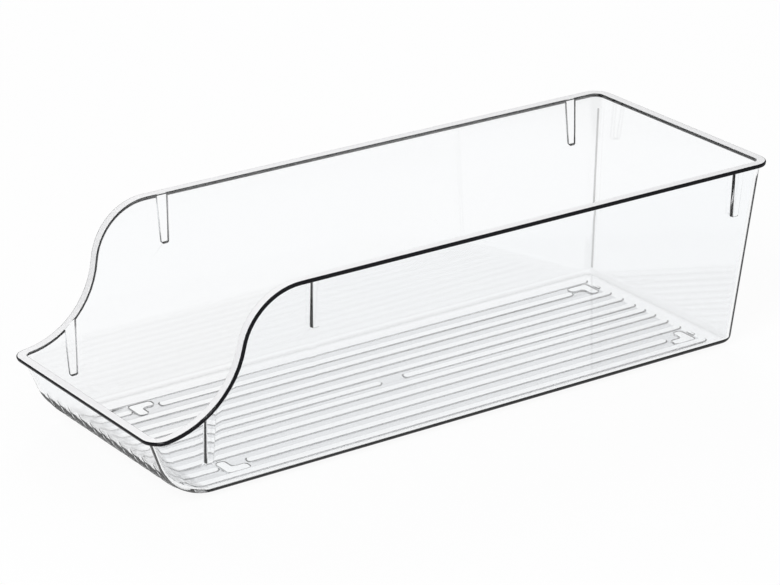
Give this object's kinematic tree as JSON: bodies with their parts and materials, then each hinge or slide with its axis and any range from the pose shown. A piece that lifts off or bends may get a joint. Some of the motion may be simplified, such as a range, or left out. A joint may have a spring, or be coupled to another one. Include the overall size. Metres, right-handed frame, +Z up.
{
  "type": "fridge drawer organizer",
  "caption": "Long narrow clear plastic fridge bin: open top, leaning walls with a rim flange, sides that drop in an S-curve to a low sloped front, ribbed floor on corner feet.",
  "frame": {"origin": "on the plane that the feet stand on, under the middle of the bin", "axes": "+Z up, +Y from the low scooped front to the tall rear, +X across the bin, to the right as seen from the front"},
  "size_m": [0.14, 0.36, 0.1],
  "materials": {
    "clear_plastic": "clear, polished"
  },
  "bodies": {
    "root": {"tub_shell": "clear_plastic", "rim_flange": "clear_plastic", "floor_ribs": "clear_plastic", "corner_feet": "clear_plastic", "nesting_lugs": "clear_plastic"}
  },
  "joints": []
}
